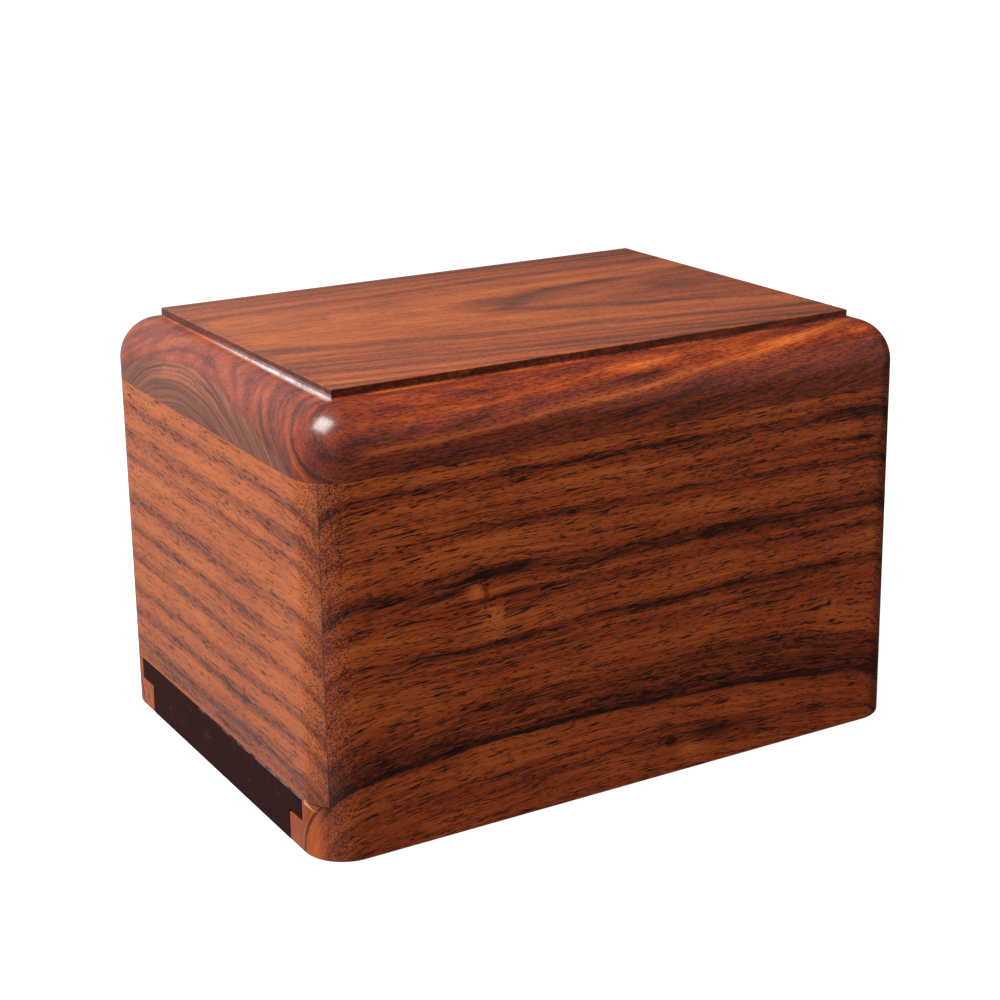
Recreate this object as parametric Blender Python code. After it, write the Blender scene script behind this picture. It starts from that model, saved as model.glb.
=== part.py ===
"""Wooden cremation urn: a mitred rosewood box with a glued lid and a dark bottom panel that slides out.

Metres, +Z up. The origin is the middle of the underside. +X runs along the long front, towards the closed end,
and the front faces -Y. The panel slides out of the left end, towards -X.
"""

import math

import bmesh
import bpy
from mathutils import Matrix, Vector

# Overall sizes
LENGTH = 0.260
DEPTH = 0.190
WALL_HEIGHT = 0.1405

# Boards
WALL = 0.028
EDGE_ROUND = 0.0165  # the vertical corners and the lid's round-over, cut with one cutter
LID_SIDE = 0.0075  # the lid's straight side below its round-over
FIELD_HEIGHT = 0.0037  # the raised field above the top of the round-over
FIELD_COVE = 0.0008  # the small hollow at the foot of the field

# Sliding bottom panel and its groove
TONGUE = 0.0088
LIP_HEIGHT = 0.0117  # wood below the groove
GROOVE_DEPTH = 0.0107

# Clearances
SLIDE_CLEARANCE = 0.0004
GLUE_GAP = 0.0003

# Fineness of the rounded shapes
ROUND_SEGMENTS = 10
COVE_SEGMENTS = 4
SHARP_ANGLE = math.radians(30)

# Worked out from the sizes above
PANEL_THICKNESS = LIP_HEIGHT + TONGUE
LEFT_WALL_BASE = PANEL_THICKNESS + SLIDE_CLEARANCE
LID_BASE = WALL_HEIGHT + GLUE_GAP
INNER_X = LENGTH / 2 - WALL
INNER_Y = DEPTH / 2 - WALL
NEAR_END = -LENGTH / 2
OVERCUT = WALL  # how far a cutter runs past what it cuts

FRONT, BACK, LEFT, RIGHT = -1, 1, -1, 1


def new_collection(name):
    collection = bpy.data.collections.new(name)
    bpy.context.scene.collection.children.link(collection)
    return collection


for leftover in list(bpy.data.objects):
    bpy.data.objects.remove(leftover, do_unlink=True)
parts = new_collection("cremation_urn")
cutters = new_collection("cutters")
urn = bpy.data.objects.new("urn", None)
parts.objects.link(urn)


def wood(name, colour, roughness):
    material = bpy.data.materials.new(name)
    material.use_nodes = True
    shader = material.node_tree.nodes["Principled BSDF"]
    shader.inputs["Base Color"].default_value = (*colour, 1.0)
    shader.inputs["Roughness"].default_value = roughness
    shader.inputs["Metallic"].default_value = 0.0
    return material


def box_mesh(low, high):
    """A box between two corners."""
    low, high = Vector(low), Vector(high)
    box = bmesh.new()
    bmesh.ops.create_cube(box, size=1.0)
    bmesh.ops.scale(box, vec=high - low, verts=box.verts)
    bmesh.ops.translate(box, vec=(low + high) / 2, verts=box.verts)
    return box


def face_on_top(mesh):
    return max(mesh.faces, key=lambda face: face.calc_center_median().z)


def upright_edges(mesh):
    return [edge for edge in mesh.edges if edge.verts[0].co.xy == edge.verts[1].co.xy]


def round_edges(mesh, edges):
    bmesh.ops.bevel(
        mesh,
        geom=edges,
        offset=EDGE_ROUND,
        offset_type="OFFSET",
        segments=ROUND_SEGMENTS,
        profile=0.5,
        affect="EDGES",
    )


def new_object(name, mesh, collection):
    data = bpy.data.meshes.new(name)
    mesh.to_mesh(data)
    mesh.free()
    made = bpy.data.objects.new(name, data)
    collection.objects.link(made)
    return made


def new_piece(name, mesh, material, origin=(0, 0, 0)):
    """A mesh drawn in the urn's own frame, as a named piece whose origin is the point given."""
    bmesh.ops.translate(mesh, vec=-Vector(origin), verts=mesh.verts)
    piece = new_object(name, mesh, parts)
    piece.data.shade_smooth()
    piece.data.set_sharp_from_angle(angle=SHARP_ANGLE)
    piece.data.materials.append(material)
    piece.location = origin
    piece.parent = urn
    return piece


def new_cutter(name, low, high):
    cutter = new_object(name, box_mesh(low, high), cutters)
    cutter.hide_render = True
    cutter.display_type = "WIRE"
    return cutter


def combine(piece, operation, other):
    modifier = piece.modifiers.new(other.name, "BOOLEAN")
    modifier.operation = operation
    modifier.solver = "EXACT"
    modifier.object = other


def rounded_block(base, top):
    """The box's whole plan between two heights, with its vertical corners rounded."""
    block = box_mesh((-LENGTH / 2, -DEPTH / 2, base), (LENGTH / 2, DEPTH / 2, top))
    round_edges(block, upright_edges(block))
    return block


def mitre_cutter(name, x_side, y_side, end_wall, base):
    """A box whose face lies on a corner's mitre, half a glue gap into the board that it cuts."""
    half = 2 * WALL
    cutter = new_cutter(name, (-half, -half, base), (half, half, WALL_HEIGHT + OVERCUT))
    corner = Vector((x_side * LENGTH / 2, y_side * DEPTH / 2, 0))
    away = Vector((x_side, -y_side, 0)).normalized() * (-1 if end_wall else 1)
    turn = Matrix.Rotation(math.pi / 4, 4, "Z")
    cutter.matrix_world = Matrix.Translation(corner + away * (half - GLUE_GAP / 2)) @ turn
    return cutter


def make_tongue_way():
    """The groove along three sides: the room for the panel's tongue, open at the left end."""
    low = (NEAR_END - OVERCUT, -INNER_Y - GROOVE_DEPTH, LIP_HEIGHT)
    high = (INNER_X + GROOVE_DEPTH, INNER_Y + GROOVE_DEPTH, LEFT_WALL_BASE)
    return new_cutter("tongue_way", low, high)


def make_long_wall(name, y_side, material, tongue_way):
    """Front or back board. Its left end is mitred only above the panel, and square below that."""
    wall = new_piece(name, rounded_block(0, WALL_HEIGHT), material)
    low_y, high_y = sorted((y_side * INNER_Y, y_side * (DEPTH / 2 + OVERCUT)))
    reach = LENGTH / 2 + OVERCUT
    slab = new_cutter(f"{name}_slab", (-reach, low_y, -OVERCUT), (reach, high_y, WALL_HEIGHT + OVERCUT))
    combine(wall, "INTERSECT", slab)
    left_base = LEFT_WALL_BASE - GLUE_GAP
    combine(wall, "DIFFERENCE", mitre_cutter(f"{name}_left_mitre", LEFT, y_side, False, left_base))
    combine(wall, "DIFFERENCE", mitre_cutter(f"{name}_right_mitre", RIGHT, y_side, False, -OVERCUT))
    combine(wall, "DIFFERENCE", tongue_way)


def make_end_wall(name, x_side, base, material):
    """Left or right board, mitred at both ends from its base up."""
    wall = new_piece(name, rounded_block(base, WALL_HEIGHT), material)
    low_x, high_x = sorted((x_side * INNER_X, x_side * (LENGTH / 2 + OVERCUT)))
    reach = DEPTH / 2 + OVERCUT
    slab = new_cutter(f"{name}_slab", (low_x, -reach, -OVERCUT), (high_x, reach, WALL_HEIGHT + OVERCUT))
    combine(wall, "INTERSECT", slab)
    combine(wall, "DIFFERENCE", mitre_cutter(f"{name}_front_mitre", x_side, FRONT, True, -OVERCUT))
    combine(wall, "DIFFERENCE", mitre_cutter(f"{name}_back_mitre", x_side, BACK, True, -OVERCUT))
    return wall


def make_lid(material):
    """One board. From the outside in: its straight side, the round-over, the cove and the raised field."""
    round_top = LID_BASE + LID_SIDE + EDGE_ROUND
    lid = box_mesh((-LENGTH / 2, -DEPTH / 2, LID_BASE), (LENGTH / 2, DEPTH / 2, round_top))
    round_edges(lid, upright_edges(lid) + list(face_on_top(lid).edges))
    field = face_on_top(lid)
    inset, rise = 0.0, 0.0
    for step in range(1, COVE_SEGMENTS + 1):
        angle = math.pi / 2 * step / COVE_SEGMENTS
        next_inset, next_rise = FIELD_COVE * math.sin(angle), FIELD_COVE * (1 - math.cos(angle))
        bmesh.ops.inset_region(
            lid, faces=[field], thickness=next_inset - inset, depth=next_rise - rise, use_even_offset=True
        )
        inset, rise = next_inset, next_rise
    top = bmesh.ops.extrude_discrete_faces(lid, faces=[field])["faces"]
    bmesh.ops.translate(lid, vec=(0, 0, FIELD_HEIGHT - FIELD_COVE), verts=top[0].verts)
    return new_piece("lid", lid, material)


def make_bottom_panel(material):
    """A plank with its lower edges cut back on three sides, which leaves the tongue above them."""
    fit_x, fit_y = INNER_X - SLIDE_CLEARANCE, INNER_Y - SLIDE_CLEARANCE
    tongue_x, tongue_y = fit_x + GROOVE_DEPTH, fit_y + GROOVE_DEPTH
    plank = box_mesh((NEAR_END, -tongue_y, 0), (tongue_x, tongue_y, PANEL_THICKNESS))
    panel = new_piece("bottom_panel", plank, material, origin=(NEAR_END, 0, 0))
    low, high = Vector((NEAR_END, -tongue_y, 0)), Vector((tongue_x, tongue_y, 0))
    low -= Vector((OVERCUT, OVERCUT, OVERCUT))
    high += Vector((OVERCUT, OVERCUT, LIP_HEIGHT + SLIDE_CLEARANCE))
    rabbets = {
        "front_rabbet": (low, (high.x, -fit_y, high.z)),
        "back_rabbet": ((low.x, fit_y, low.z), high),
        "far_rabbet": ((fit_x, low.y, low.z), high),
    }
    for name, (start, end) in rabbets.items():
        combine(panel, "DIFFERENCE", new_cutter(name, start, end))
    return panel


wall_wood = wood("wall_rosewood", (0.24, 0.075, 0.030), 0.35)
lid_wood = wood("lid_rosewood", (0.22, 0.065, 0.030), 0.30)
panel_wood = wood("dark_stained_wood", (0.035, 0.018, 0.016), 0.45)

way = make_tongue_way()
make_long_wall("front_wall", FRONT, wall_wood, way)
make_long_wall("back_wall", BACK, wall_wood, way)
make_end_wall("left_wall", LEFT, LEFT_WALL_BASE, wall_wood)
combine(make_end_wall("right_wall", RIGHT, 0, wall_wood), "DIFFERENCE", way)
make_lid(lid_wood)
make_bottom_panel(panel_wood)
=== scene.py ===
"""Looks of the wooden cremation urn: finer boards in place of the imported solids, rosewood and a studio.

Shapes are in metres, +Z up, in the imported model's own frame. The wood's figure is in millimetres.
"""

import math

import bmesh
import bpy
from mathutils import Matrix, Vector


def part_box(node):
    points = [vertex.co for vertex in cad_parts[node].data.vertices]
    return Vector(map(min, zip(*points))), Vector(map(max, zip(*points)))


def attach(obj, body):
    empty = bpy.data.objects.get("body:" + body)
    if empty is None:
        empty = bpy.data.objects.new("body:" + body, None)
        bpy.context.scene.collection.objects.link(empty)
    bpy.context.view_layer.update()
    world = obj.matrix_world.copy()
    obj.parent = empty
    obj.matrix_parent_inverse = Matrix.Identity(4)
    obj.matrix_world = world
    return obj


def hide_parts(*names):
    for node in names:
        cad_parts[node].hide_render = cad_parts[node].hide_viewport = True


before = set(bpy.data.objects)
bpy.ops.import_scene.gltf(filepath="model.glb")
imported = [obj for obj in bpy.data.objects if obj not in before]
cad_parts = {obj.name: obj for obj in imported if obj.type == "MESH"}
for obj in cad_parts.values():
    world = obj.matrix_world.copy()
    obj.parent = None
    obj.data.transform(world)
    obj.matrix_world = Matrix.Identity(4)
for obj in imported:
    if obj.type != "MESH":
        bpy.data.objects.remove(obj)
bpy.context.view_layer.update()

# Sizes that the frame gives
lid_low, lid_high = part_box("lid")
front_low, front_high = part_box("front_wall")
left_low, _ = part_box("left_wall")
panel_low, panel_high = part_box("bottom_panel")
LENGTH = lid_high.x - lid_low.x
DEPTH = lid_high.y - lid_low.y
WALL = front_high.y - front_low.y
WALL_TOP = front_high.z
LEFT_BASE = left_low.z
LID_TOP = lid_high.z
LID_SOLID_BASE = lid_low.z
INNER_X = LENGTH / 2 - WALL
INNER_Y = DEPTH / 2 - WALL

# Sizes inside the solids
EDGE_ROUND = 0.0165
LID_SIDE = 0.0075
FIELD_COVE = 0.0008
LIP_HEIGHT = 0.0117
GROOVE_DEPTH = 0.0107
SLIDE_CLEARANCE = 0.0004

# Fine shapes that only the looks need, with rounded edges as (width, segments)
JOINT_GAP = 0.00006  # between glued boards
BIG_ROUND = (EDGE_ROUND, 28)
LONG_FOOT_EASE = (0.0006, 3)  # lower edges of the front and back boards
END_FOOT_EASE = (0.0003, 2)  # lower edges of the two end boards
FIELD_EASE = (0.00035, 4)  # arris of the raised field
NOSE_ROUND = (0.0011, 6)  # inner edge of the lip below the groove
PANEL_EASE = (0.0004, 3)
COVE_SEGMENTS = 8

# How meshes are cut and sorted
SHARP_ANGLE = math.radians(30)
FLAT_ANGLE = math.radians(0.05)
OVERCUT = WALL  # how far a cutter runs past what it cuts
NEAR = 1e-5
SAME_POINT = 1e-6
LEVEL, UPRIGHT, END_ON = 0.9, 0.1, 0.8  # limits for a part of a face's normal

# Sizes in millimetres, for the wood's figure
MM = 0.001
HALF_LENGTH_MM = LENGTH / 2 / MM
HALF_DEPTH_MM = DEPTH / 2 / MM
WALL_MM = WALL / MM
ROUND_MM = EDGE_ROUND / MM
LEFT_BASE_MM = LEFT_BASE / MM
PANEL_TOP_MM = panel_high.z / MM
JOINT_Z_MM = WALL_TOP / MM
FIELD_X_MM = (LENGTH / 2 - EDGE_ROUND - FIELD_COVE) / MM
FIELD_Y_MM = (DEPTH / 2 - EDGE_ROUND - FIELD_COVE) / MM
FIELD_BASE_MM = (LID_SOLID_BASE + LID_SIDE + EDGE_ROUND) / MM
FIELD_TOP_MM = LID_TOP / MM

LEFT, RIGHT, FRONT, BACK = -1, 1, -1, 1


def box_mesh(low, high):
    """A box between two corners."""
    low, high = Vector(low), Vector(high)
    box = bmesh.new()
    bmesh.ops.create_cube(box, size=1.0)
    bmesh.ops.scale(box, vec=high - low, verts=box.verts)
    bmesh.ops.translate(box, vec=(low + high) / 2, verts=box.verts)
    return box


def top_face(mesh):
    return max(mesh.faces, key=lambda face: face.calc_center_median().z)


def upright_edges(mesh):
    return [edge for edge in mesh.edges if (edge.verts[0].co.xy - edge.verts[1].co.xy).length < NEAR]


def ease(mesh, edges, width, segments):
    """Rounds the edges given."""
    bmesh.ops.bevel(
        mesh,
        geom=edges,
        offset=width,
        offset_type="OFFSET",
        segments=segments,
        profile=0.5,
        affect="EDGES",
        clamp_overlap=True,
    )


def loose_object(name, mesh):
    data = bpy.data.meshes.new(name)
    mesh.to_mesh(data)
    mesh.free()
    made = bpy.data.objects.new(name, data)
    bpy.context.scene.collection.objects.link(made)
    return made


def carved(mesh, cuts):
    """The mesh after Booleans with other meshes, each given as (operation, mesh)."""
    block = loose_object("block", mesh)
    cutters = []
    for operation, other in cuts:
        cutter = loose_object("cutter", other)
        cutters.append(cutter)
        modifier = block.modifiers.new("cut", "BOOLEAN")
        modifier.operation = operation
        modifier.solver = "EXACT"
        modifier.object = cutter
    evaluated = block.evaluated_get(bpy.context.evaluated_depsgraph_get())
    result = bmesh.new()
    result.from_mesh(evaluated.to_mesh())
    evaluated.to_mesh_clear()
    for used in [block, *cutters]:
        data = used.data
        bpy.data.objects.remove(used)
        bpy.data.meshes.remove(data)
    bmesh.ops.remove_doubles(result, verts=result.verts, dist=SAME_POINT)
    bmesh.ops.dissolve_limit(
        result,
        angle_limit=FLAT_ANGLE,
        verts=result.verts,
        edges=result.edges,
        use_dissolve_boundaries=False,
    )
    result.normal_update()
    return result


def rounded_block(base, top):
    """The case's whole plan between two heights, with its vertical corners rounded."""
    block = box_mesh((-LENGTH / 2, -DEPTH / 2, base), (LENGTH / 2, DEPTH / 2, top))
    ease(block, upright_edges(block), *BIG_ROUND)
    return block


def mitre_cut(x_side, y_side, in_end_wall, base):
    """A turned box whose face lies on a corner's mitre, half a joint's gap inside the board that it cuts."""
    half = 2 * WALL
    cutter = box_mesh((-half, -half, base), (half, half, WALL_TOP + OVERCUT))
    corner = Vector((x_side * LENGTH / 2, y_side * DEPTH / 2, 0))
    away = Vector((x_side, -y_side, 0)).normalized() * (-1 if in_end_wall else 1)
    turn = Matrix.Rotation(math.pi / 4, 4, "Z")
    cutter.transform(Matrix.Translation(corner + away * (half - JOINT_GAP / 2)) @ turn)
    return cutter


def tongue_way():
    """The room for the panel's tongue along three sides, open at the left end."""
    low = (-LENGTH / 2 - OVERCUT, -INNER_Y - GROOVE_DEPTH, LIP_HEIGHT)
    high = (INNER_X + GROOVE_DEPTH, INNER_Y + GROOVE_DEPTH, LEFT_BASE)
    return box_mesh(low, high)


def outline_edges(mesh, height, faces_out):
    """The edges at one height between a level face and a side that faces out of the case."""
    found = []
    for edge in mesh.edges:
        if any(abs(vert.co.z - height) > NEAR for vert in edge.verts):
            continue
        normals = [face.normal for face in edge.link_faces]
        level = [normal for normal in normals if abs(normal.z) > LEVEL]
        outer = [normal for normal in normals if abs(normal.z) < UPRIGHT and faces_out(normal)]
        if level and outer:
            found.append(edge)
    return found


def nose_edges(mesh):
    """The inner edges of the lip that the panel's tongue rests on."""
    return [
        edge
        for edge in mesh.edges
        if all(abs(vert.co.z - LIP_HEIGHT) < NEAR for vert in edge.verts)
        and (
            all(abs(abs(vert.co.y) - INNER_Y) < NEAR for vert in edge.verts)
            or all(abs(vert.co.x - INNER_X) < NEAR for vert in edge.verts)
        )
    ]


def long_wall(y_side):
    """Front or back board. Its left end is mitred only above the panel, and square below that."""

    def faces_out(normal):
        return normal.y * y_side > UPRIGHT or normal.x < -END_ON

    low_y, high_y = sorted((y_side * INNER_Y, y_side * (DEPTH / 2 + OVERCUT)))
    reach = LENGTH / 2 + OVERCUT
    slab = box_mesh((-reach, low_y, -OVERCUT), (reach, high_y, WALL_TOP + OVERCUT))
    wall = carved(
        rounded_block(0, WALL_TOP),
        [
            ("INTERSECT", slab),
            ("DIFFERENCE", mitre_cut(LEFT, y_side, False, LEFT_BASE - JOINT_GAP)),
            ("DIFFERENCE", mitre_cut(RIGHT, y_side, False, -OVERCUT)),
            ("DIFFERENCE", tongue_way()),
        ],
    )
    ease(wall, outline_edges(wall, 0, faces_out), *LONG_FOOT_EASE)
    ease(wall, nose_edges(wall), *NOSE_ROUND)
    return wall


def end_wall(x_side, base):
    """Left or right board, mitred at both ends from its base up."""

    def faces_out(normal):
        return normal.x * x_side > UPRIGHT

    low_x, high_x = sorted((x_side * INNER_X, x_side * (LENGTH / 2 + OVERCUT)))
    reach = DEPTH / 2 + OVERCUT
    slab = box_mesh((low_x, -reach, -OVERCUT), (high_x, reach, WALL_TOP + OVERCUT))
    cuts = [
        ("INTERSECT", slab),
        ("DIFFERENCE", mitre_cut(x_side, FRONT, True, -OVERCUT)),
        ("DIFFERENCE", mitre_cut(x_side, BACK, True, -OVERCUT)),
    ]
    if x_side == RIGHT:
        cuts.append(("DIFFERENCE", tongue_way()))
    wall = carved(rounded_block(base, WALL_TOP), cuts)
    ease(wall, outline_edges(wall, base, faces_out), *END_FOOT_EASE)
    if x_side == RIGHT:
        ease(wall, nose_edges(wall), *NOSE_ROUND)
    return wall


def lid_board():
    """One board. From the outside in: its straight side, the round-over, the cove and the raised field."""
    base = WALL_TOP + JOINT_GAP
    round_top = LID_SOLID_BASE + LID_SIDE + EDGE_ROUND
    lid = box_mesh((-LENGTH / 2, -DEPTH / 2, base), (LENGTH / 2, DEPTH / 2, round_top))
    ease(lid, upright_edges(lid) + list(top_face(lid).edges), *BIG_ROUND)
    field = top_face(lid)
    inset, rise = 0.0, 0.0
    for step in range(1, COVE_SEGMENTS + 1):
        angle = math.pi / 2 * step / COVE_SEGMENTS
        next_inset, next_rise = FIELD_COVE * math.sin(angle), FIELD_COVE * (1 - math.cos(angle))
        bmesh.ops.inset_region(
            lid, faces=[field], thickness=next_inset - inset, depth=next_rise - rise, use_even_offset=True
        )
        inset, rise = next_inset, next_rise
    top = bmesh.ops.extrude_discrete_faces(lid, faces=[field])["faces"]
    bmesh.ops.translate(lid, vec=(0, 0, LID_TOP - round_top - FIELD_COVE), verts=top[0].verts)
    ease(lid, list(top[0].edges), *FIELD_EASE)
    return lid


def panel_board():
    """A plank with its lower edges cut back on three sides, which leaves the tongue above them."""
    fit_x, fit_y = INNER_X - SLIDE_CLEARANCE, INNER_Y - SLIDE_CLEARANCE
    low = panel_low - Vector((OVERCUT, OVERCUT, OVERCUT))
    high = Vector((panel_high.x + OVERCUT, panel_high.y + OVERCUT, LIP_HEIGHT + SLIDE_CLEARANCE))
    rabbets = [
        box_mesh(low, (high.x, -fit_y, high.z)),
        box_mesh((low.x, fit_y, low.z), high),
        box_mesh((fit_x, low.y, low.z), high),
    ]
    panel = carved(box_mesh(panel_low, panel_high), [("DIFFERENCE", rabbet) for rabbet in rabbets])
    convex = [edge for edge in panel.edges if edge.is_convex and edge.calc_face_angle() > SHARP_ANGLE]
    ease(panel, convex, *PANEL_EASE)
    return panel


class Amount:
    """A number that changes over a surface, or with direction in the studio. Plain arithmetic adds nodes."""

    def __init__(self, tones, socket):
        self.tones = tones
        self.socket = socket

    def __add__(self, other):
        return self.tones.math("ADD", self, other)

    def __radd__(self, other):
        return self.tones.math("ADD", other, self)

    def __sub__(self, other):
        return self.tones.math("SUBTRACT", self, other)

    def __rsub__(self, other):
        return self.tones.math("SUBTRACT", other, self)

    def __mul__(self, other):
        return self.tones.math("MULTIPLY", self, other)

    def __truediv__(self, other):
        return self.tones.math("DIVIDE", self, other)

    def __neg__(self):
        return self.tones.math("MULTIPLY", self, -1)

    def __abs__(self):
        return self.tones.math("ABSOLUTE", self)

    def root(self):
        return self.tones.math("SQRT", self)

    def hill(self):
        """1 where this is 0, falling away like a bell by 2 either way."""
        return self.tones.math("EXPONENT", -(self * self))

    def at_least(self, low):
        return self.tones.math("MAXIMUM", self, low)

    def at_most(self, high):
        return self.tones.math("MINIMUM", self, high)

    def share(self):
        """Held between 0 and 1."""
        return self.at_least(0).at_most(1)


def set_stops(elements, stops):
    """Gives a colour ramp its stops, as (position, colour)."""
    while len(elements) < len(stops):
        elements.new(1.0)
    for element, (position, colour) in zip(elements, stops):
        element.position = position
        element.color = colour


class Tones:
    """The nodes of a finish or of the studio's light, and the few ways in which they are added."""

    def __init__(self, tree):
        self.tree = tree

    def feed(self, socket, value):
        if isinstance(value, Amount):
            self.tree.links.new(value.socket, socket)
        elif isinstance(value, bpy.types.NodeSocket):
            self.tree.links.new(value, socket)
        else:
            socket.default_value = value

    def node(self, kind, settings=None, sockets=None):
        """Any node: its settings first, with a ramp's stops, then the values or links of its sockets."""
        made = self.tree.nodes.new("ShaderNode" + kind)
        for name, value in (settings or {}).items():
            if name == "stops":
                set_stops(made.color_ramp.elements, value)
            else:
                setattr(made, name, value)
        for name, value in (sockets or {}).items():
            self.feed(made.inputs[name], value)
        return made

    def math(self, operation, *values):
        made = self.node("Math", {"operation": operation}, dict(enumerate(values)))
        return Amount(self, made.outputs[0])

    def noise(self, x, y, z, detail=1.0):
        """Noise about 0, mostly from -0.5 to 0.5, with blotches about one unit across.

        So a coordinate is divided by the size that the blotches have in its direction.
        """
        point = self.node("CombineXYZ", {}, {"X": x, "Y": y, "Z": z}).outputs[0]
        sockets = {"Vector": point, "Scale": 1.0, "Detail": detail}
        return Amount(self, self.node("TexNoise", {}, sockets).outputs[0]) - 0.5

    def rise(self, value, start, end):
        """0 before start and 1 after end, with a smooth step between them."""
        sockets = {"Value": value, "From Min": start, "From Max": end}
        made = self.node("MapRange", {"interpolation_type": "SMOOTHSTEP"}, sockets)
        return Amount(self, made.outputs[0])

    def profile(self, value, stops):
        """A number read from a list of (place, number) stops, with straight runs between them."""
        first, last = stops[0][0], stops[-1][0]
        share = (value - first) / (last - first)
        greys = [((place - first) / (last - first), (grey, grey, grey, 1.0)) for place, grey in stops]
        ramp = self.node("ValToRGB", {"stops": greys}, {0: share})
        return Amount(self, ramp.outputs[0])

    def shade(self, value, stops):
        """A colour read from a list of (number, colour) stops."""
        colours = [(place, (*colour, 1.0)) for place, colour in stops]
        return self.node("ValToRGB", {"stops": colours}, {0: value}).outputs[0]

    def mix(self, factor, first, second):
        """The first colour at factor 0 and the second at 1."""
        first, second = [(*c, 1.0) if isinstance(c, tuple) else c for c in (first, second)]
        made = self.node("Mix", {"data_type": "RGBA"}, {0: factor, 6: first, 7: second})
        return made.outputs[2]


class Finish(Tones):
    """A finish in the making, on a new material."""

    def __init__(self, name):
        self.material = bpy.data.materials.new(name)
        self.material.use_nodes = True
        super().__init__(self.material.node_tree)
        self.shader = self.tree.nodes["Principled BSDF"]

    def place(self):
        """Where this point of the wood is in the urn, in millimetres."""
        point = self.node("TexCoord").outputs["Object"]
        scaled = self.node("VectorMath", {"operation": "SCALE"}, {0: point, "Scale": 1 / MM})
        parts = self.node("SeparateXYZ", {}, {0: scaled.outputs[0]})
        return [Amount(self, socket) for socket in parts.outputs]

    def lacquer(self, colour, roughness, coat, height, depth, sheen=0.1):
        """Connects the finish: its colour, its gloss, and a relief given in shares of a depth in metres."""
        bump = self.node("Bump", {}, {"Strength": 1.0, "Distance": depth, "Height": height})
        self.feed(self.shader.inputs["Base Color"], colour)
        self.feed(self.shader.inputs["Roughness"], roughness)
        self.feed(self.shader.inputs["Coat Weight"], coat)
        self.feed(self.shader.inputs["Normal"], bump.outputs[0])
        self.shader.inputs["Coat Roughness"].default_value = COAT_ROUGHNESS
        self.shader.inputs["Coat IOR"].default_value = COAT_IOR
        self.shader.inputs["IOR"].default_value = WOOD_IOR
        self.shader.inputs["Specular IOR Level"].default_value = sheen
        return self.material


WOOD_IOR = 1.45
COAT_ROUGHNESS = 0.25
COAT_IOR = 1.58
WALL_RELIEF, LID_RELIEF, STAIN_RELIEF = 0.00005, 0.00003, 0.00004  # metres

# Rosewood, from its lightest streaks to its blackest lines
WALL_SHADES = [
    (0.0, (0.76, 0.188, 0.030)),
    (0.3, (0.58, 0.115, 0.014)),
    (0.6, (0.37, 0.053, 0.006)),
    (0.8, (0.21, 0.029, 0.006)),
    (1.0, (0.075, 0.012, 0.005)),
]
LID_SHADES = [
    (0.0, (0.62, 0.145, 0.026)),
    (0.3, (0.46, 0.085, 0.016)),
    (0.6, (0.29, 0.042, 0.012)),
    (0.8, (0.175, 0.028, 0.013)),
    (1.0, (0.070, 0.014, 0.010)),
]
# The left board is the same wood, paled and dulled by a painted sheen, the haze that the gloss lays on that
# side
LEFT_SHEEN_TINT, SHEEN_TINT_SHARE = (0.50, 0.195, 0.090), 0.22
LEFT_SHEENED_SHADES = [
    (place, tuple((1 - SHEEN_TINT_SHARE) * shade + SHEEN_TINT_SHARE * tan for shade, tan in zip(colour, LEFT_SHEEN_TINT)))
    for place, colour in WALL_SHADES
]
PORE = (0.020, 0.006, 0.004)
# The left board's pores, paled by the same painted sheen
LEFT_SHEENED_PORE = (0.075, 0.018, 0.012)
RAW_WOOD = (0.40, 0.15, 0.065)
# Painted reflection, a pale sheen on the rounded corners
CORNER_PAINTED_SHEEN = (0.22, 0.085, 0.070)
GLUE_LINE = (0.035, 0.012, 0.008)
MITRE_LINE, LID_LINE = 0.45, 0.30
LINE_CORE, LINE_EDGE = 0.064, 0.288  # half the line's width, where it is full and where it ends
FILLER = (0.62, 0.36, 0.13)
OLIVE_LIGHT = (0.385, 0.120, 0.047)
OLIVE_DARK = (0.120, 0.041, 0.030)
LID_END = (0.225, 0.064, 0.046)
# Painted sheen on the top of the raised field
FIELD_PAINTED_SHEEN = (0.40, 0.35, 0.15)
# Painted shade on the step round the field
STEP_PAINTED_SHADE = (0.030, 0.009, 0.005)
# Painted highlight in the cove along the left side
COVE_HIGHLIGHT = (0.60, 0.53, 0.55)
STAIN = (0.034, 0.0112, 0.0095)
STAIN_DEEP = (0.004, 0.002, 0.002)
STAIN_WORN = (0.22, 0.17, 0.16)


def ring_height(up, deep, pith_below, pith_out, lean):
    """The height at which the growth ring through this point comes out on the board's face, in millimetres.

    The rings are round a pith that lies pith_below under the foot and pith_out in front of the face.
    """
    rise = up + pith_below
    return (rise * rise + deep * (deep + 2 * pith_out)).root() - pith_below + deep * lean


def bent_round(along, up, knots):
    """The height with the grain bent round each knot, given as (along, up, reach along, reach up, push)."""
    for knot_along, knot_up, reach_along, reach_up, push in knots:
        beside = (along - knot_along) / reach_along
        above = (up - knot_up) / reach_up
        up = up - beside.hill() * above.hill() * above * push
    return up


def wandering(finish, along, up, deep, seed, slow, quick):
    """A slow and a quick wave of the grain, in millimetres."""
    wide = finish.noise(along / 60 + seed, up / 26, deep / 40)
    narrow = finish.noise(along / 19 + seed, up / 7, deep / 14)
    return wide * slow + narrow * quick


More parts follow.
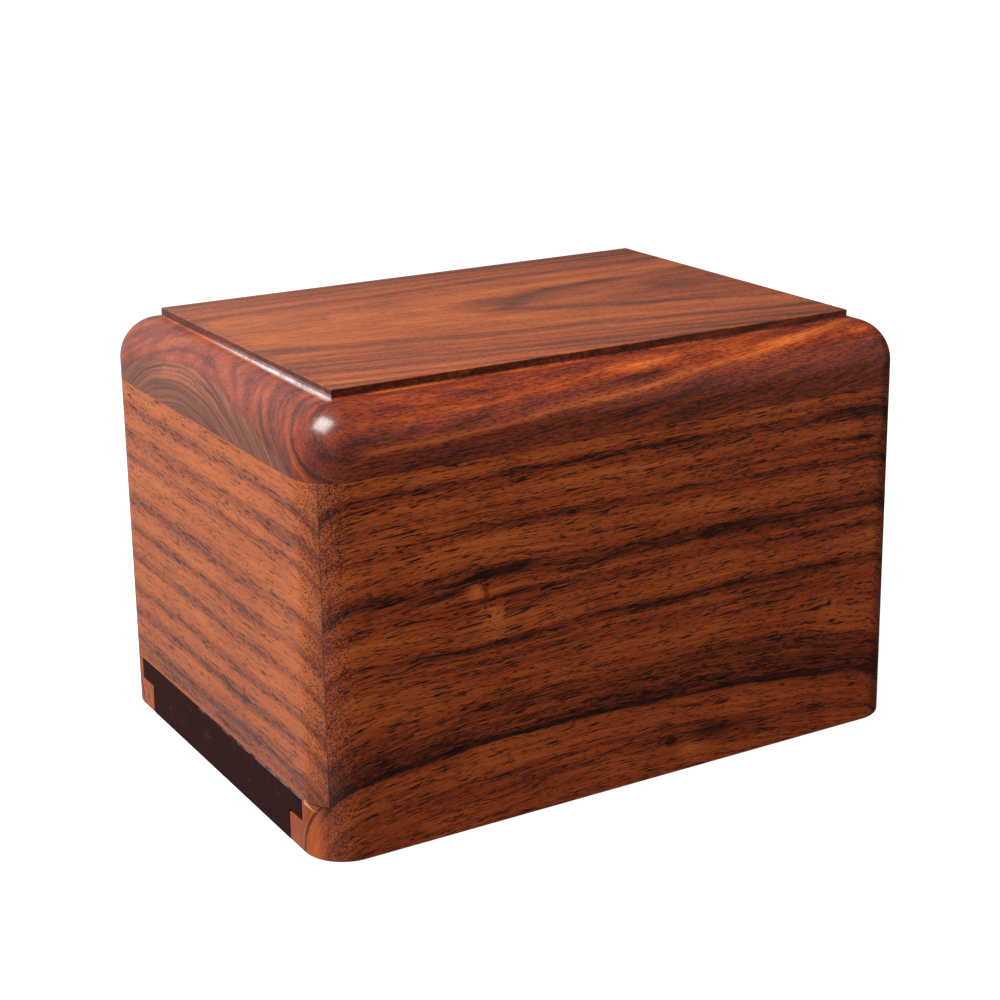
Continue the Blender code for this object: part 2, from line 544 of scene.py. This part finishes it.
def pores(finish, along, ring, deep, darkness, seed):
    """The open pores: short dark dashes along the grain, which show as dots where the grain is cut across."""
    lean = ring - along * 0.07
    fine = finish.noise(along / 3.4 + seed, lean / 0.40, deep / 0.45)
    long = finish.noise(along / 9.0 + seed, lean / 0.60, deep / 0.72 + 7.0)
    crowding = finish.noise(along / 13 + seed, ring / 3, deep / 9) * 0.24 + (darkness - 0.42) * 0.18
    fine_mask = finish.rise(fine + crowding, 0.08, 0.15)
    long_mask = finish.rise(long + crowding, 0.12, 0.19)
    return (fine_mask * 0.85).at_least(long_mask)


def stipple(finish, x, y, z, turned):
    """Pores as fine dots, where a rounded corner cuts across the grain."""
    dots = finish.noise(x / 0.6, y / 0.6, z / 0.6)
    return finish.rise(dots, 0.03, 0.11) * turned * 0.84


def wall_finish(name, figure):
    """Lacquered rosewood on one board of the case. The figure holds what is this board's own."""
    finish = Finish(name)
    x, y, z = finish.place()
    along, up, deep = figure["place"](x, y, z)
    seed = figure["seed"]
    level = bent_round(along, up - figure["bend"](finish, along, up), figure["knots"])
    level = level + wandering(finish, along, up, deep, seed, figure["slow_wave"], figure["quick_wave"])
    ring = ring_height(level.at_least(-9), deep.at_least(0), *figure["pith"])
    bands = finish.profile(ring, figure["bands"]) - figure["middle"]
    fading = finish.noise(along / 42 + seed, ring / 9, deep / 30) * 1.8 + 0.95
    streaks = finish.noise(along / 75 + seed, ring / 2.1, deep / 9, detail=2.0) * figure["streaks"]
    threads = finish.noise(along / 18 + seed, ring / 0.7, deep / 1.2, detail=3.0) * figure["threads"]
    clouds = finish.noise(along / 50 + seed, ring / 22, deep / 30) * 0.35
    darkness = bands * fading.at_least(0.25) * 0.9 + figure["middle"] + streaks + threads + clouds
    dark = figure["marks"](finish, along, up, darkness).share()
    dive = finish.noise(along / 30 + seed, ring / 16, deep / 20) * figure["dive"]
    turned = finish.rise(deep, 0.02, 0.9) * (1 - finish.rise(deep, ROUND_MM - 1.5, ROUND_MM))
    pore = pores(finish, figure["eye"](along, up), ring, deep + dive, darkness.share(), seed)
    pore = pore.at_least(stipple(finish, x, y, z, turned))
    colour = finish.shade(dark, figure["shades"])
    # Painted reflection: a pale sheen along the mitre of each rounded corner
    painted_corner_sheen = ((abs(x) - abs(y) - (HALF_LENGTH_MM - HALF_DEPTH_MM)) / 5.5).hill() * turned
    colour = finish.mix(painted_corner_sheen * 0.18, colour, CORNER_PAINTED_SHEEN)
    colour = finish.mix(pore * 0.93, colour, figure["pore"])
    return finish, (x, y, z), deep, colour, pore


def close_wall(finish, z, deep, colour, pore):
    """What all walls share: the joint under the lid, raw wood inside, and the gloss."""
    colour = glue_line(finish, z - JOINT_Z_MM, colour, LID_LINE)
    raw = finish.rise(deep, WALL_MM - 0.8, WALL_MM - 0.1)
    colour = finish.mix(raw * 0.55, colour, RAW_WOOD)
    roughness = 0.36 + pore * 0.2 + raw * 0.25
    return finish.lacquer(colour, roughness, 1 - raw, 1 - pore, WALL_RELIEF)


def glue_line(finish, across, colour, strength):
    """A thin dark line where a board meets its neighbour, across millimetres away."""
    line = 1 - finish.rise(abs(across), LINE_CORE, LINE_EDGE)
    return finish.mix(line * strength, colour, GLUE_LINE)


def spot(along, up, place, reach, slope=0):
    """1 at a place on a board, falling away like a bell. Its long way may slope, by up over along."""
    beside = along - place[0]
    above = up - place[1] - beside * slope
    return (beside / reach[0]).hill() * (above / reach[1]).hill()


def front_bend(finish, along, up):
    """The lowest rings of the front sag towards both ends, and most at the right."""
    off = along + 25
    sag = off * off * -6.2e-4
    return sag * (1 - finish.rise(up, 34, 66) * 0.9)


# The front's own marks: their place, their reach, their slope, and how much darker the wood is there
FRONT_MARKS = {
    "pale knot": ((-67, 92), (3.2, 3.6), 0, -0.38),
    "line above it": ((-57, 97.5), (11, 1.6), 0.05, 0.42),
    "line to its left": ((-80, 92.5), (12, 1.3), 0.14, 0.40),
    "line to its right": ((-53, 88.5), (9, 0.9), 0.03, 0.34),
    "pale swirl below it": ((-60, 80.5), (5.5, 6.5), 0, -0.34),
    "pin knot": ((94, 54.6), (1.1, 1.1), 0, 0.95),
    "pale wood round it": ((94, 54.6), (3.2, 2.4), 0, -0.24),
    "low knot": ((18, 13.6), (2.4, 1.7), 0, 0.58),
    "smudge to its right": ((37, 13.6), (13, 2.6), 0, 0.34),
    "pale fan below it": ((27, 8.5), (5, 3.5), 0, -0.18),
}


def front_marks_and_shade(finish, along, up, darkness):
    """The front's marks, an arched dark rim on its pale knot, and painted shade that darkens it down and to
    the right.
    """
    arch = up - 91
    rim = ((along + 63 + arch * (arch * 0.10 + 0.2)) / 1.3).hill() * (arch / 3).hill()
    for place, reach, slope, darker in FRONT_MARKS.values():
        darkness = darkness + spot(along, up, place, reach, slope) * darker
    # The last two terms are painted shade: darker lower down and further right
    return darkness + rim * 0.36 + (130 - up) * 0.0011 + along * 0.0004


def left_foot_shade(finish, along, up, darkness):
    """Painted shade: the left board is a little darker towards its foot."""
    return darkness + (1 - finish.rise(up, 15, 105)) * 0.11


def front_eye(along, up):
    """Along the grain for the pores: beside the pale knot they are cut across, which makes dots of them."""
    swirl = spot(along, up, (-60, 84), (7, 11))
    return (along + 60) * (swirl * 2.2 + 1)


def no_eye(along, up):
    return along


def foot_bend(finish, along, up):
    """The lowest rings lie a little lower than they would."""
    return finish.rise(up, 0, 60) * 2.0 - 2.0


def no_marks(finish, along, up, darkness):
    return darkness


def front_place(x, y, z):
    return x, z, y + HALF_DEPTH_MM


def back_place(x, y, z):
    return x, z, HALF_DEPTH_MM - y


def left_place(x, y, z):
    return y, z, x + HALF_LENGTH_MM


def right_place(x, y, z):
    return y, z, HALF_LENGTH_MM - x


# A board's place gives how far along, up and deep a point is in it. Its pith is (below the foot, out from
# the face, lean), and its bands are (height of the ring, darkness)
FRONT_FIGURE = {
    "place": front_place,
    "seed": 0.0,
    "bend": front_bend,
    "knots": [(-64, 88, 30, 17, 5.5), (94, 54.6, 9, 6, 1.6), (20, 13.6, 14, 6, 2.0)],
    "slow_wave": 3.2,
    "quick_wave": 1.3,
    "pith": (13, 17, 1.0),
    "bands": [
        (0, 0.50), (8, 0.38), (14, 0.48), (20, 0.55), (22, 0.38), (29, 0.38), (32.4, 0.52),
        (33.4, 1.05), (35, 0.84), (39, 0.72), (44, 0.62), (48.6, 0.66), (51, 0.44), (58, 0.38),
        (65.6, 0.58), (68, 0.42), (72.6, 0.86), (75, 0.44), (81, 0.36), (87.6, 0.66), (90, 0.42),
        (95.5, 0.92), (98, 0.66), (102, 0.44), (109, 0.38), (114.6, 0.76), (117, 0.46), (122, 0.56),
        (127, 0.36), (133.5, 0.88), (136, 0.46), (141, 0.46),
    ],
    "middle": 0.50,
    "streaks": 0.55,
    "threads": 0.65,
    "dive": 2.6,
    "shades": WALL_SHADES,
    "pore": PORE,
    "marks": front_marks_and_shade,
    "eye": front_eye,
}

LEFT_FIGURE = {
    "place": left_place,
    "seed": 31.0,
    "bend": foot_bend,
    "knots": [],
    "slow_wave": 3.0,
    "quick_wave": 1.0,
    "pith": (13, 17, 1.5),
    "bands": [
        (0, 0.4), (23, 0.34), (26, 0.78), (28, 0.55), (30, 0.80), (33.5, 0.34), (39.5, 0.28),
        (42.6, 0.74), (46, 0.32), (49.5, 0.30), (52.6, 0.74), (56, 0.30), (62.5, 0.28), (65.6, 0.76),
        (69, 0.30), (75, 0.32), (78.6, 0.68), (82, 0.30), (86, 0.34), (90, 0.68), (92.6, 0.60),
        (96, 0.30), (106, 0.30), (109.6, 0.68), (113, 0.34), (117, 0.66), (119.6, 0.70), (123, 0.32),
        (127, 0.34), (130.6, 0.70), (134, 0.34), (141, 0.38),
    ],
    "middle": 0.34,
    "streaks": 0.52,
    "threads": 0.60,
    "dive": 2.0,
    "shades": LEFT_SHEENED_SHADES,
    "pore": LEFT_SHEENED_PORE,
    "marks": left_foot_shade,
    "eye": no_eye,
}


def plain_figure(place, seed, heights):
    """A quieter board with soft bands at the heights given."""
    bands = [(0, 0.42)]
    for height, darkness in heights:
        bands += [(height - 2.4, 0.36), (height, darkness), (height + 2.0, 0.38)]
    return {
        "place": place,
        "seed": seed,
        "bend": foot_bend,
        "knots": [],
        "slow_wave": 5.0,
        "quick_wave": 1.2,
        "pith": (13, 17, 0.5),
        "bands": [*bands, (141, 0.42)],
        "middle": 0.40,
        "streaks": 0.50,
        "threads": 0.50,
        "dive": 2.0,
        "shades": WALL_SHADES,
        "pore": PORE,
        "marks": no_marks,
        "eye": no_eye,
    }


BACK_BANDS = [(16, 0.70), (31, 0.85), (47, 0.60), (62, 0.70), (80, 0.62), (97, 0.82), (118, 0.70)]
RIGHT_BANDS = [(12, 0.65), (27, 0.70), (44, 0.80), (69, 0.62), (88, 0.72), (109, 0.65), (129, 0.75)]
BACK_FIGURE = plain_figure(back_place, 57.0, BACK_BANDS)
RIGHT_FIGURE = plain_figure(right_place, 83.0, RIGHT_BANDS)


def off_mitre(x, y):
    """How far a point is from the plane of the mitre at the near left corner."""
    return ((x + HALF_LENGTH_MM) - (y + HALF_DEPTH_MM)) / math.sqrt(2)


def front_rosewood():
    finish, (x, y, z), deep, colour, pore = wall_finish("front_rosewood", FRONT_FIGURE)
    above_panel = finish.rise(z, LEFT_BASE_MM - 0.6, LEFT_BASE_MM)
    colour = square_end(finish, x, y, z, colour, above_panel)
    colour = glue_line(finish, off_mitre(x, y) + (1 - above_panel) * 9, colour, MITRE_LINE)
    colour = filler_sliver(finish, x, y, z, colour)
    return close_wall(finish, z, deep, colour, pore)


def square_end(finish, x, y, z, colour, above_panel):
    """The end grain below the mitre: pale salmon, with one dark growth ring that curves down through it."""
    end = finish.rise(-x, 123, 129) * (1 - above_panel) * (1 - finish.rise(-y, 86, 91))
    arc = y + 79 + z * z * 0.021 + finish.noise(y / 3, z / 3, x / 3) * 0.6
    rings = finish.noise(arc / 1.1, z / 12, x / 8) * 0.5
    tone = rings + (arc / 0.7).hill() * 0.75 + finish.rise(arc, 0, 2.5) * 0.22 + 0.33
    return finish.mix(end * 0.85, colour, finish.shade(tone.share(), WALL_SHADES))


def filler_sliver(finish, x, y, z, colour):
    """Pale filler in the joint above the front board's square end: it dips and thins towards the corner."""
    towards_corner = finish.rise(-y, 79.5, 85.5)
    centre = 20.2 - towards_corner * 1.7
    half_thick = 1.0 - towards_corner * 0.82
    near_end = finish.rise(-x, 116, 119)
    span = finish.rise(-y, 79, 79.6) * (1 - finish.rise(-y, 82.5, 88.5))
    off = abs(z - centre + finish.noise(y / 1.6, z / 2, x / 3) * 0.9)
    thick = 1 - finish.rise(off - half_thick, -0.12, 0.14)
    return finish.mix(thick * span * near_end, colour, FILLER)


def left_rosewood():
    finish, (x, y, z), deep, colour, pore = wall_finish("left_rosewood", LEFT_FIGURE)
    colour = glue_line(finish, off_mitre(x, y), colour, MITRE_LINE)
    return close_wall(finish, z, deep, colour, pore)


def plain_rosewood(name, figure):
    finish, (_, _, z), deep, colour, pore = wall_finish(name, figure)
    return close_wall(finish, z, deep, colour, pore)


# The lid's rings are round a pith far below it, which drifts backwards towards the left end
PITH_HEIGHT = 57.0
PITH_Y = 4.5
PITH_DRIFT = -0.085
RING_GROWTH = 0.042
END_FROM, END_FULL = 106, 120  # how far to the left the end's own figure comes in
# Heartwood of another colour under the red: its crest at the left end, and how it falls away
OLIVE_CREST, OLIVE_CREST_Y, OLIVE_SPREAD = 158.5, 8.0, 440.0
# Streaks of the long mouldings by their height round the moulding, sloping up to the right
SIDE_BANDS = [
    (-22, 0.60), (-10, 0.66), (-4, 0.54), (0, 0.68), (4, 0.56), (8, 0.70), (12, 0.62), (14, 0.52),
    (16, 0.16), (18, 0.50), (20, 0.74), (23, 0.58), (24.6, 0.56), (26, 0.40), (28, 0.56), (31, 0.72),
    (36, 0.58), (42, 0.68), (48, 0.58),
]
# Bands of the raised field by the radius of their ring
LID_BANDS = [
    (105.5, 0.42), (107.6, 0.56), (109, 0.42), (110.2, 0.42), (111.4, 0.72), (112.6, 0.28), (114, 0.22),
    (116, 0.36), (117.2, 0.28), (118.8, 0.36), (120.2, 0.72), (121.2, 0.62), (122.6, 0.32), (123.6, 0.42),
    (124.6, 0.62), (125.6, 0.36), (127.6, 0.66), (129, 0.42), (131, 0.76), (133, 0.46), (135.2, 0.74),
    (137, 0.48), (139.5, 0.24), (141.2, 0.70), (143.3, 0.26), (145.5, 0.66), (149, 0.76), (156, 0.6),
]


def moulding_figure(finish, x, y, z):
    """The long mouldings: sloping streaks with a smudge and a pale flame near the top, and fine threads."""
    climb = z - JOINT_Z_MM + (HALF_DEPTH_MM - abs(y)) * 0.57
    slant = climb - x * (x * 0.0004 + 0.11) + finish.noise(x / 40, climb / 10, y / 30) * 3.4
    smudge = spot(x, climb, (30, 28.5), (9, 3)) * 0.34
    lick = finish.noise(x / 17 + 3.0, slant / 3.4, y / 60) * 2.4 + 0.75
    flame = ((climb - 26.5) / 3.6).hill() * finish.rise(x, -22, 12) * lick.share() * 0.42
    foot = 1 - finish.rise(climb, 0, 7)
    bands = finish.profile(slant, SIDE_BANDS) - 0.32 + smudge - flame - foot * 0.03
    threads = finish.noise(x / 18, slant / 0.7, y / 40, detail=2.0) * 0.8
    return bands, threads


def end_figure(finish, x, y, z, off, ring):
    """The left end, where the grain is cut across: soft blotches, darker at the front corner."""
    clouds = finish.noise(y / 7, z / 16, x / 9, detail=2.0)
    ringed = finish.noise(ring / 2.4, off / 45, x / 40) * 1.1
    return clouds + ringed + finish.rise(-y, 58, 84) * 0.12 + 0.21


def olive_heartwood(finish, x, z, crest, off, ring, end, colour):
    """Olive heartwood up to a crest on the left end, with a dark rim along the crest."""
    rings = finish.noise(ring / 1.3, x / 70, off / 60, detail=2.0) * 3.0 + 0.55
    olive = finish.mix(rings.share(), OLIVE_LIGHT, OLIVE_DARK)
    above = z - crest
    colour = finish.mix((above / 0.9).hill() * end * 0.5, colour, OLIVE_DARK)
    return finish.mix((1 - finish.rise(above, -1.4, 0.8)) * end * 0.85, colour, olive)


def lid_rosewood():
    """The lid's finish: one figure on the raised field, one on the long mouldings and one on the left end."""
    finish = Finish("lid_rosewood")
    x, y, z = finish.place()
    off = y - PITH_Y - x * PITH_DRIFT
    over = z - PITH_HEIGHT
    wave = finish.noise(x / 60, y / 24, z / 24) * 2.6 + finish.noise(x / 22, y / 8, z / 8) * 0.9
    ring = (off * off + over * over).root() - x * RING_GROWTH + wave
    end = finish.rise(-x, END_FROM, END_FULL)
    side = finish.rise(abs(y), FIELD_Y_MM + 0.5, FIELD_Y_MM + 1.2) * (1 - end)

    top_bands = (finish.profile(ring, LID_BANDS) - 0.4) * (1 - side) * (1 - end * 0.55)
    side_bands, side_threads = moulding_figure(finish, x, y, z)
    bands = top_bands + side_bands * side + end_figure(finish, x, y, z, off, ring) * end
    fading = finish.noise(x / 50, ring / 4, z / 30) * 1.5 + 0.95
    streaks = finish.noise(x / 70, ring / 1.6, off / 8, detail=2.0) * 0.66
    threads = finish.noise(x / 24, ring / 0.55, off / 2, detail=2.0) * 0.66
    lines = streaks * (1 - end * 0.6) * (1 - side * 0.7) + threads * (1 - side * 0.6) + side_threads * side
    # Painted shade: the field darkens towards the right, away from the light
    tone = finish.rise(x, -60, 110) * 0.09 * (1 - side) + 0.38
    dark = (bands * fading.at_least(0.3) + lines + tone).share()

    dulled = end * (0.5 - finish.rise(-y, 45, 85) * 0.32)
    colour = finish.mix(dulled, finish.shade(dark, LID_SHADES), LID_END)
    back = y - OLIVE_CREST_Y
    crest = OLIVE_CREST - back * back / OLIVE_SPREAD + wave * 0.8
    colour = olive_heartwood(finish, x, z, crest, off, ring, end, colour)
    pore = finish.rise(finish.noise(x / 2.6, y / 0.40, z / 0.40) + dark * 0.14 + side * 0.03, 0.12, 0.22)
    colour = finish.mix(pore * 0.6, colour, PORE)
    # Painted sheen: a faint pale veil over the top face of the raised field
    colour = finish.mix(finish.rise(z, FIELD_TOP_MM - 0.4, FIELD_TOP_MM - 0.1) * 0.055, colour, FIELD_PAINTED_SHEEN)
    colour = shaded_step(finish, x, y, z, colour)
    colour = painted_cove_highlight(finish, x, y, z, colour)
    colour = glue_line(finish, z - JOINT_Z_MM, colour, LID_LINE)
    return finish.lacquer(colour, 0.33 + pore * 0.2, 1.0, 1 - pore, LID_RELIEF)


def shaded_step(finish, x, y, z, colour):
    """Painted shade on the upright step round the field, mottled, and paler towards the right."""
    out = (abs(x) - FIELD_X_MM).at_least(abs(y) - FIELD_Y_MM)
    beside = 1 - finish.rise(abs(out), 0.05, 0.25)
    above_cove = finish.rise(z, FIELD_BASE_MM + 0.5, FIELD_BASE_MM + 0.9)
    below_field = 1 - finish.rise(z, FIELD_TOP_MM - 0.4, FIELD_TOP_MM - 0.1)
    paler = finish.rise(x, -30, 110) * 0.34
    mottle = finish.noise(x / 1.6, y / 1.6, z / 1.2, detail=2.0) * 1.1 + 0.72 - paler
    return finish.mix((beside * above_cove * below_field * mottle).at_most(0.95), colour, STEP_PAINTED_SHADE)


def painted_cove_highlight(finish, x, y, z, colour):
    """A painted highlight in the cove along the left side: widest at the front corner, gone by the back."""
    out = -x - FIELD_X_MM
    width = 3.0 - finish.rise(y, -80, 38) * 1.9
    strip = finish.rise(out, -0.1, 0.15) * (1 - finish.rise(out / width, 0.2, 1.0))
    clouds = finish.noise(y / 12, out / 3, 0.5) * 1.6
    grains = finish.noise(y / 1.6, out / 0.7, z, detail=2.0) * 1.5
    span = finish.rise(y, -79.5, -77) * (1 - finish.rise(y, -12, 34))
    below_step = 1 - finish.rise(z, FIELD_BASE_MM + 1.4, FIELD_BASE_MM + 2.0)
    return finish.mix(((clouds + grains + 0.72) * strip * span * below_step).share(), colour, COVE_HIGHLIGHT)


def dark_stain():
    """Dark stained wood with dull scratches, and a worn arris along its near top edge."""
    finish = Finish("dark_stain")
    x, y, z = finish.place()
    grain = finish.noise(x / 30, y / 1.6, z / 1.2, detail=2.0)
    blotch = finish.noise(x / 9, y / 14, z / 9, detail=2.0)
    tone = (0.9 + grain * 0.5 + blotch * 0.6).at_least(0.3)
    colour = finish.mix(tone.at_most(1), STAIN_DEEP, STAIN)
    scratches = finish.noise(y / 0.35 + z * 0.9, z / 2.6, x / 2, detail=0.0)
    crowding = finish.noise(y / 9, z / 7, x / 9) * 0.6
    mark = finish.rise(scratches + crowding, 0.26, 0.36)
    speck = finish.rise(finish.noise(y / 0.7, z / 0.7, x / 0.7), 0.25, 0.31)
    near_top = finish.rise(z, PANEL_TOP_MM - 0.6, PANEL_TOP_MM - 0.15)
    arris = near_top * (1 - finish.rise(x + HALF_LENGTH_MM, 0.3, 1.4))
    worn = finish.rise(finish.noise(y / 6, z / 4, x / 4, detail=2.0) - y / 300, -0.02, 0.26)
    rubbed = (mark * 0.24).at_least(speck * 0.24).at_least(arris * worn * 0.75)
    colour = finish.mix(rubbed, colour, STAIN_WORN)
    roughness = 0.5 + mark * 0.2 + blotch * 0.2
    return finish.lacquer(colour, roughness, 0.0, grain, STAIN_RELIEF, sheen=0.03)


def dress(name, mesh, material, body):
    """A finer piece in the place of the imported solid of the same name."""
    piece = loose_object(name + "_board", mesh)
    piece.data.shade_smooth()
    piece.data.set_sharp_from_angle(angle=SHARP_ANGLE)
    piece.data.materials.append(material)
    flatter = piece.modifiers.new("flat_faces", "WEIGHTED_NORMAL")
    flatter.keep_sharp = True
    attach(piece, body)
    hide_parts(name)


back_rosewood = plain_rosewood("back_rosewood", BACK_FIGURE)
right_rosewood = plain_rosewood("right_rosewood", RIGHT_FIGURE)
dress("front_wall", long_wall(FRONT), front_rosewood(), "case")
dress("back_wall", long_wall(BACK), back_rosewood, "case")
dress("left_wall", end_wall(LEFT, LEFT_BASE), left_rosewood(), "case")
dress("right_wall", end_wall(RIGHT, 0), right_rosewood, "case")
dress("lid", lid_board(), lid_rosewood(), "case")
dress("bottom_panel", panel_board(), dark_stain(), "panel")


# The studio
FLOOR_SIZE = 14.0
FLOOR_DROP = 0.0002  # below the urn's foot
FLOOR_GLOW = 0.90
FLOOR_GREY = (0.42, 0.42, 0.42)
WHITE = (1.0, 1.0, 1.0)
LIGHT_DISTANCE = 1.15  # from the urn's middle
KEY_FROM, KEY_SIZE, KEY_POWER, KEY_COLOUR = (-0.42, -0.13, 0.90), 0.62, 16.5, (0.985, 0.985, 1.0)
SIDE_FROM, SIDE_SIZE, SIDE_POWER, SIDE_COLOUR = (-0.85, 0.42, 0.32), 0.9, 7.6, (1.0, 0.99, 0.98)
AMBIENT = 0.33
GLOSS_DARK = 0.006
# What the gloss reflects, as (direction, where it starts, where it is full, brightness)
PALE_SIDES = [
    ((-0.85, 0.50, -0.15), -0.8, 1.0, 0.25),
    ((-0.05, 0.98, 0.15), 0.84, 1.0, 0.22),
    ((0.78, -0.55, 0.30), 0.76, 0.95, 0.20),
]


def pale_floor():
    """A glowing pale floor that takes shadows, but lights nothing and shows in no gloss."""
    mesh = bmesh.new()
    bmesh.ops.create_grid(mesh, x_segments=1, y_segments=1, size=FLOOR_SIZE / 2)
    floor = loose_object("studio_floor", mesh)
    floor.location.z = -FLOOR_DROP
    finish = Finish("pale_floor")
    finish.material.cycles.emission_sampling = "NONE"
    finish.shader.inputs["Base Color"].default_value = (*FLOOR_GREY, 1.0)
    finish.shader.inputs["Specular IOR Level"].default_value = 0.0
    finish.shader.inputs["Roughness"].default_value = 1.0
    finish.shader.inputs["Emission Color"].default_value = (*WHITE, 1.0)
    finish.shader.inputs["Emission Strength"].default_value = FLOOR_GLOW
    floor.data.materials.append(finish.material)
    floor.visible_diffuse = False
    floor.visible_glossy = False


def softbox(name, direction, size, power, colour, reflected):
    """A square light that faces the urn's middle. The camera doesn't see it, and the gloss may not either."""
    direction = Vector(direction)
    data = bpy.data.lights.new(name, "AREA")
    data.shape = "SQUARE"
    data.size = size
    data.energy = power
    data.color = colour
    light = bpy.data.objects.new(name, data)
    light.location = direction.normalized() * LIGHT_DISTANCE + Vector((0, 0, LID_TOP / 2))
    light.rotation_euler = direction.to_track_quat("Z", "Y").to_euler()
    light.visible_camera = False
    light.visible_glossy = reflected
    bpy.context.scene.collection.objects.link(light)


def studio_world():
    """White to the camera, an even grey for soft light, and a dim room with pale sides for the gloss."""
    world = bpy.data.worlds.new("studio")
    world.use_nodes = True
    bpy.context.scene.world = world
    world.cycles.sampling_method = "NONE"
    tones = Tones(world.node_tree)
    direction = tones.node("TexCoord").outputs["Generated"]
    gloss = GLOSS_DARK
    for towards, start, end, brightness in PALE_SIDES:
        facing = tones.node("VectorMath", {"operation": "DOT_PRODUCT"}, {0: direction, 1: towards})
        gloss = gloss + tones.rise(facing.outputs["Value"], start, end) * brightness
    rays = tones.node("LightPath")
    soft = AMBIENT + (gloss - AMBIENT) * Amount(tones, rays.outputs["Is Glossy Ray"])
    shown = soft + (1 - soft) * Amount(tones, rays.outputs["Is Camera Ray"])
    tones.feed(tones.tree.nodes["Background"].inputs["Color"], shown)


pale_floor()
softbox("key_softbox", KEY_FROM, KEY_SIZE, KEY_POWER, KEY_COLOUR, reflected=True)
softbox("side_softbox", SIDE_FROM, SIDE_SIZE, SIDE_POWER, SIDE_COLOUR, reflected=False)
studio_world()

# The camera, where the photograph was taken from
CAMERA_PLACE = Vector((-0.40340, -0.68582, 0.34505))
CAMERA_YAW, CAMERA_PITCH, CAMERA_ROLL = -0.531, -0.273, -0.013
CAMERA_LENS, CAMERA_SENSOR, CAMERA_SHIFT_Y = 73.536, 36.0, -0.08
CAMERA_NEAR = 0.01


def photo_camera():
    data = bpy.data.cameras.new("photo_camera")
    data.lens = CAMERA_LENS
    data.sensor_width = CAMERA_SENSOR
    data.shift_y = CAMERA_SHIFT_Y
    data.clip_start = CAMERA_NEAR
    camera = bpy.data.objects.new("photo_camera", data)
    level = math.cos(CAMERA_PITCH)
    forward = Vector((-math.sin(CAMERA_YAW) * level, math.cos(CAMERA_YAW) * level, math.sin(CAMERA_PITCH)))
    right = Vector((math.cos(CAMERA_YAW), math.sin(CAMERA_YAW), 0))
    up = right.cross(forward)
    rolled_right = right * math.cos(CAMERA_ROLL) + up * math.sin(CAMERA_ROLL)
    rolled_up = up * math.cos(CAMERA_ROLL) - right * math.sin(CAMERA_ROLL)
    turn = Matrix((rolled_right, rolled_up, -forward)).transposed().to_4x4()
    camera.matrix_world = Matrix.Translation(CAMERA_PLACE) @ turn
    bpy.context.scene.collection.objects.link(camera)
    bpy.context.scene.camera = camera


photo_camera()
bpy.context.scene.view_settings.view_transform = "Standard"
